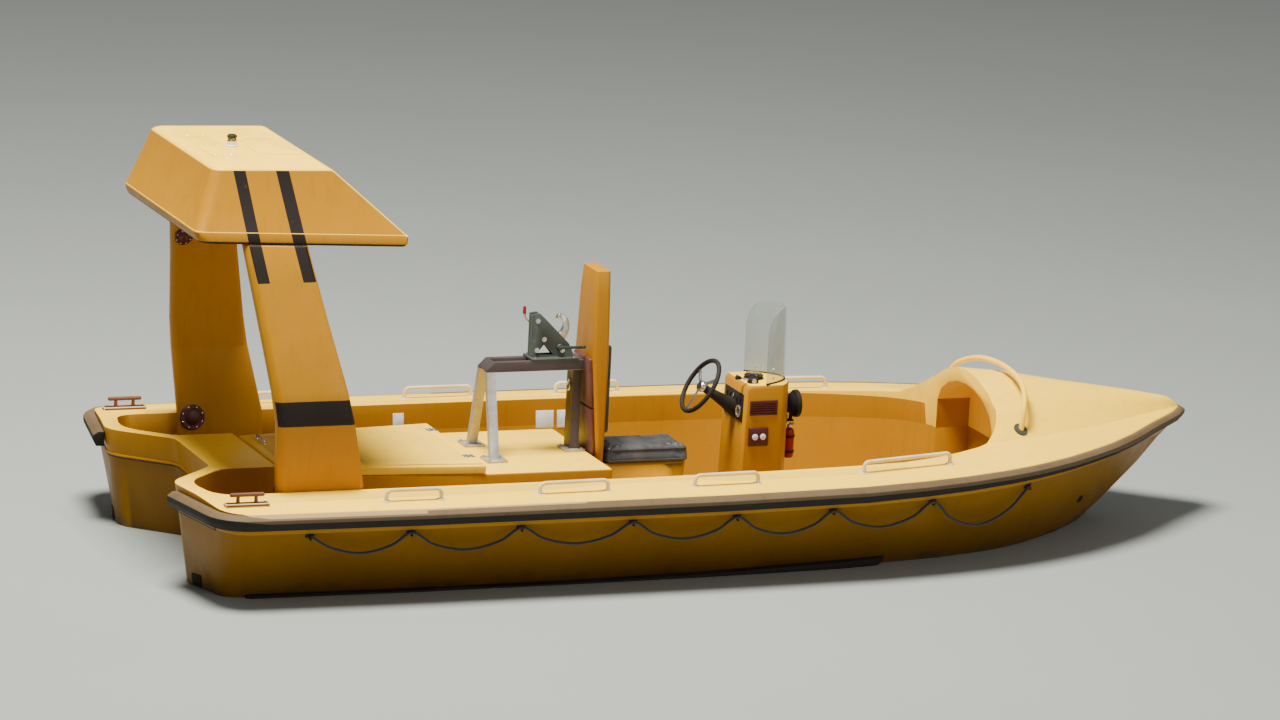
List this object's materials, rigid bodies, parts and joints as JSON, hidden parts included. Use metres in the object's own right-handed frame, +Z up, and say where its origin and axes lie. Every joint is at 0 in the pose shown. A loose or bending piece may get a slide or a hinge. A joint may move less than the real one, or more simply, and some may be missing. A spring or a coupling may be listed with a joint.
{
  "type": "fast rescue lifeboat",
  "caption": "Rigid open rescue lifeboat with stern pods, self-righting arch, single-point lifting frame, jockey seat, steering console and a water jet.",
  "frame": {"origin": "on the waterline, on the centre line, about amidships", "axes": "+X to the bow, +Y to port, +Z up"},
  "size_m": [6.8515, 2.936, 2.9921],
  "materials": {
    "gelcoat": "satin gelcoat on glass fibre, yellow orange",
    "deck": "satin gelcoat, pale cream yellow",
    "sole": "non-slip gelcoat",
    "fender": "weathered grey rubber",
    "black_rubber": "black",
    "frame_steel": "dull galvanised",
    "stainless": "satin",
    "engine": "matt grey",
    "dark_metal": "dark green grey",
    "vinyl": "black vinyl cover",
    "cover": "dark maroon",
    "red_paint": "dark red",
    "rope": "black braided line",
    "lens": "white",
    "aluminium": "cast",
    "windshield": "lightly tinted"
  },
  "bodies": {
    "boat": {"hull": "gelcoat", "deck_moulding": "deck", "cockpit_sole": "sole", "rub_rail": "fender", "chine_strake_port": "black_rubber", "arch_leg_port": "gelcoat", "leg_cover_low_port": "cover", "leg_cover_high_port": "cover", "stern_cleat_port": "stainless", "grab_rail_aft_port": "stainless", "grab_rail_mid_port": "stainless", "grab_rail_fore_port": "stainless", "grab_rail_bow_port": "stainless", "lifeline_port": "rope", "chine_strake_starboard": "black_rubber", "arch_leg_starboard": "gelcoat", "leg_cover_low_starboard": "cover", "leg_cover_high_starboard": "cover", "stern_cleat_starboard": "stainless", "grab_rail_aft_starboard": "stainless", "grab_rail_mid_starboard": "stainless", "grab_rail_fore_starboard": "stainless", "grab_rail_bow_starboard": "stainless", "lifeline_starboard": "rope", "engine_casing": "gelcoat", "engine_block": "engine", "lifting_frame": "frame_steel", "hook_block": "dark_metal", "seat_base": "gelcoat", "seat_back": "gelcoat", "seat_cushion": "vinyl", "steering_console": "gelcoat", "steering_column": "black_rubber", "windshield": "windshield", "throttle_control": "dark_metal", "compass": "black_rubber", "searchlight": "black_rubber", "extinguisher": "red_paint", "arch_hood": "gelcoat", "masthead_light": "lens", "bow_hoop": "deck", "jet_housing": "aluminium", "intake_grille": "frame_steel"},
    "hatch": {"engine_hatch": "deck"},
    "wheel": {"steering_wheel": "black_rubber"},
    "nozzle": {"jet_nozzle": "aluminium"},
    "bucket": {"reverse_bucket": "aluminium"},
    "hook": {"lifting_hook": "stainless"}
  },
  "joints": [
    {"name": "hatch_hinge", "type": "hinge", "parent": "boat", "child": "hatch", "pos_m": [-1.312, 0, 0.545], "axis": [0, 1, 0], "range_deg": [0, 80]},
    {"name": "wheel_turn", "type": "hinge", "parent": "boat", "child": "wheel", "pos_m": [0.24, 0, 0.9], "axis": [-0.848, 0, 0.5299], "range_deg": [-300, 300]},
    {"name": "nozzle_steer", "type": "hinge", "parent": "boat", "child": "nozzle", "pos_m": [-3.04, 0, -0.13], "axis": [0, 0, 1], "range_deg": [-25, 25]},
    {"name": "bucket_lift", "type": "hinge", "parent": "nozzle", "child": "bucket", "pos_m": [-3.11, 0, -0.13], "axis": [0, 1, 0], "range_deg": [-40, 0]},
    {"name": "hook_release", "type": "hinge", "parent": "boat", "child": "hook", "pos_m": [-0.8, 0, 1.23], "axis": [0, 1, 0], "range_deg": [0, 30]}
  ],
  "couplings": [
    {"joint": "nozzle_steer", "follows": "wheel_turn", "ratio": -0.083333}
  ]
}
